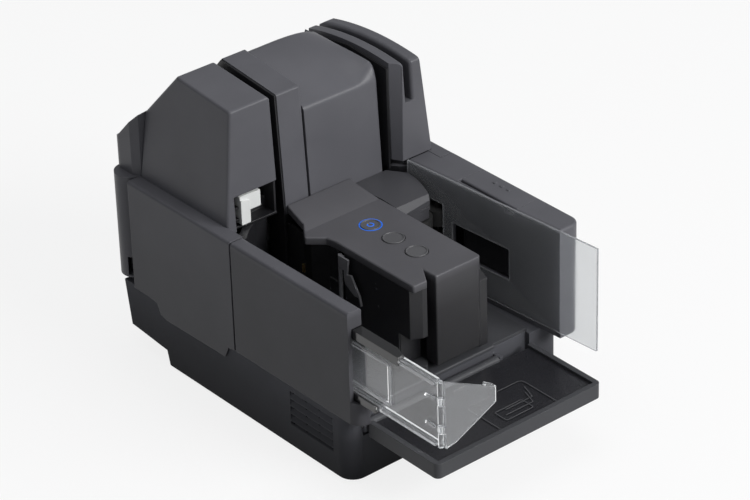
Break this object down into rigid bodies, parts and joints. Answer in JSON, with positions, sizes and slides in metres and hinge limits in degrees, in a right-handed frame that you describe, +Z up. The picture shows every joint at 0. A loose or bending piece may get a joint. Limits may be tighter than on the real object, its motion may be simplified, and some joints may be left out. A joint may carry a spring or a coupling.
{
  "type": "cheque scanner",
  "caption": "Desktop cheque scanner with two swinging side units, a control block with buttons, a card slot, a folding tray and a pull-out clear eject guide.",
  "frame": {"origin": "centre of the footprint, on the surface that the scanner stands on, guide pulled out", "axes": "+X to the user's right, -Y towards the user, +Z up"},
  "size_m": [0.193, 0.348, 0.224],
  "materials": {
    "cover": "satin",
    "tray": "satin",
    "inner": "satin",
    "gloss_black": "polished",
    "clear": "polished",
    "frosted_clear": "satin",
    "button": "satin",
    "blue_light": "satin",
    "white": "satin",
    "lever": "satin",
    "rubber": "matte",
    "steel": "satin",
    "motor": "satin",
    "brass": "satin",
    "board": "satin",
    "socket": "satin",
    "sensor": "polished"
  },
  "bodies": {
    "machine": {"base_housing": "cover", "base_plate": "inner", "rubber_feet": "rubber", "plate_screws": "steel", "main_board": "board", "rear_sockets": "socket", "drive_motor": "motor", "drive_belt": "rubber", "deck": "tray", "left_front_wall": "cover", "center_frame": "inner", "center_cover": "cover", "center_strip": "cover", "front_image_sensor": "sensor", "read_head": "steel", "rear_cover": "cover", "hinge_pins": "steel", "right_housing": "cover", "document_guide": "frosted_clear", "control_cover": "cover", "power_light": "blue_light", "button_board": "board", "eject_liner": "inner", "eject_rear_guide": "gloss_black", "antistatic_strip": "brass", "feed_side_block": "inner", "entry_cover": "cover", "entry_block": "inner"},
    "left_unit": {"left_side_cover": "cover", "left_inner_guide": "inner", "left_tower": "cover", "ink_holder": "inner"},
    "right_unit": {"right_side_cover": "cover", "right_inner_guide": "inner", "back_image_sensor": "sensor", "right_tower": "cover", "card_reader_head": "steel"},
    "left_pinch": {"left_pinch_roller": "rubber"},
    "right_pinch": {"right_pinch_roller": "rubber"},
    "rear_pinch": {"rear_pinch_roller": "rubber"},
    "cartridge": {"ink_cartridge": "white"},
    "rail": {"guide_rail": "gloss_black"},
    "eject_guide": {"clear_guide": "clear"},
    "flap": {"stopper_flap": "clear"},
    "tray": {"tray_frame": "tray", "tray_plate": "tray"},
    "power_key": {"power_button": "button", "power_sign": "blue_light"},
    "middle_key": {"middle_button": "button"},
    "front_key": {"front_button": "button"},
    "lid": {"side_lid": "cover"},
    "arm": {"pressing_arm": "inner"},
    "lever": {"eject_lever": "lever"},
    "pick": {"pick_roller": "rubber"},
    "separation": {"separation_roller": "rubber"},
    "retard": {"retard_roller": "rubber"},
    "right_drive": {"right_drive_roller": "rubber"},
    "left_drive": {"left_drive_roller": "rubber"},
    "rear_drive": {"rear_drive_roller": "rubber"},
    "pulley": {"motor_pulley": "brass"}
  },
  "joints": [
    {"name": "left_unit_hinge", "type": "hinge", "parent": "machine", "child": "left_unit", "pos_m": [-0.0845, 0.1605, 0.095], "axis": [0, 0, -1], "range_deg": [0, 35]},
    {"name": "right_unit_hinge", "type": "hinge", "parent": "machine", "child": "right_unit", "pos_m": [0.0845, 0.1605, 0.095], "axis": [0, 0, 1], "range_deg": [0, 35]},
    {"name": "cartridge_slide", "type": "slide", "parent": "left_unit", "child": "cartridge", "axis": [0, -1, 0], "range_m": [0, 0.03]},
    {"name": "rail_slide", "type": "slide", "parent": "machine", "child": "rail", "axis": [0, -1, 0], "range_m": [-0.04, 0]},
    {"name": "guide_slide", "type": "slide", "parent": "rail", "child": "eject_guide", "axis": [0, -1, 0], "range_m": [-0.038, 0]},
    {"name": "flap_hinge", "type": "hinge", "parent": "eject_guide", "child": "flap", "pos_m": [-0.0887, -0.1706, 0.096], "axis": [0, 0, -1], "range_deg": [-75, 0]},
    {"name": "tray_hinge", "type": "hinge", "parent": "machine", "child": "tray", "pos_m": [0, -0.086, 0.044], "axis": [-1, 0, 0], "range_deg": [0, 90]},
    {"name": "power_press", "type": "slide", "parent": "machine", "child": "power_key", "axis": [0, 0, -1], "range_m": [0, 0.0006], "stiffness_N_per_m": 800},
    {"name": "middle_press", "type": "slide", "parent": "machine", "child": "middle_key", "axis": [0, 0, -1], "range_m": [0, 0.0006], "stiffness_N_per_m": 800},
    {"name": "front_press", "type": "slide", "parent": "machine", "child": "front_key", "axis": [0, 0, -1], "range_m": [0, 0.0006], "stiffness_N_per_m": 800},
    {"name": "lid_hinge", "type": "hinge", "parent": "machine", "child": "lid", "pos_m": [0.0944, -0.03475, 0.1276], "axis": [0, 1, 0], "range_deg": [0, 100]},
    {"name": "arm_hinge", "type": "hinge", "parent": "machine", "child": "arm", "pos_m": [0.0775, -0.0095, 0.0915], "axis": [0, 0, -1], "range_deg": [0, 60]},
    {"name": "lever_hinge", "type": "hinge", "parent": "machine", "child": "lever", "pos_m": [-0.0348, -0.0072, 0.1], "axis": [0, 0, -1], "range_deg": [0, 40]},
    {"name": "pick_spin", "type": "hinge", "parent": "machine", "child": "pick", "pos_m": [0.0275, -0.04, 0.091], "axis": [0, 0, 1], "continuous": true},
    {"name": "separation_spin", "type": "hinge", "parent": "machine", "child": "separation", "pos_m": [0.0505, 0.0145, 0.091], "axis": [0, 0, 1], "continuous": true},
    {"name": "retard_spin", "type": "hinge", "parent": "machine", "child": "retard", "pos_m": [0.0709, 0.0145, 0.091], "axis": [0, 0, 1], "continuous": true},
    {"name": "right_drive_spin", "type": "hinge", "parent": "machine", "child": "right_drive", "pos_m": [0.0423, 0.072, 0.09], "axis": [0, 0, 1], "continuous": true},
    {"name": "left_drive_spin", "type": "hinge", "parent": "machine", "child": "left_drive", "pos_m": [-0.0268, 0.076, 0.09], "axis": [0, 0, 1], "continuous": true},
    {"name": "rear_drive_spin", "type": "hinge", "parent": "machine", "child": "rear_drive", "pos_m": [0.00775, 0.15055, 0.09], "axis": [0, 0, 1], "continuous": true},
    {"name": "pulley_spin", "type": "hinge", "parent": "machine", "child": "pulley", "pos_m": [0.008, 0.062, 0.055], "axis": [0, 0, 1], "continuous": true},
    {"name": "right_pinch_spin", "type": "hinge", "parent": "right_unit", "child": "right_pinch", "pos_m": [0.0633, 0.072, 0.09], "axis": [0, 0, 1], "continuous": true},
    {"name": "left_pinch_spin", "type": "hinge", "parent": "left_unit", "child": "left_pinch", "pos_m": [-0.0478, 0.076, 0.09], "axis": [0, 0, 1], "continuous": true},
    {"name": "rear_pinch_spin", "type": "hinge", "parent": "machine", "child": "rear_pinch", "pos_m": [0.00775, 0.16695, 0.09], "axis": [0, 0, 1], "continuous": true}
  ],
  "couplings": [
    {"joint": "left_drive_spin", "follows": "right_drive_spin", "ratio": 1},
    {"joint": "rear_drive_spin", "follows": "right_drive_spin", "ratio": 1},
    {"joint": "pulley_spin", "follows": "right_drive_spin", "ratio": 1.1}
  ]
}
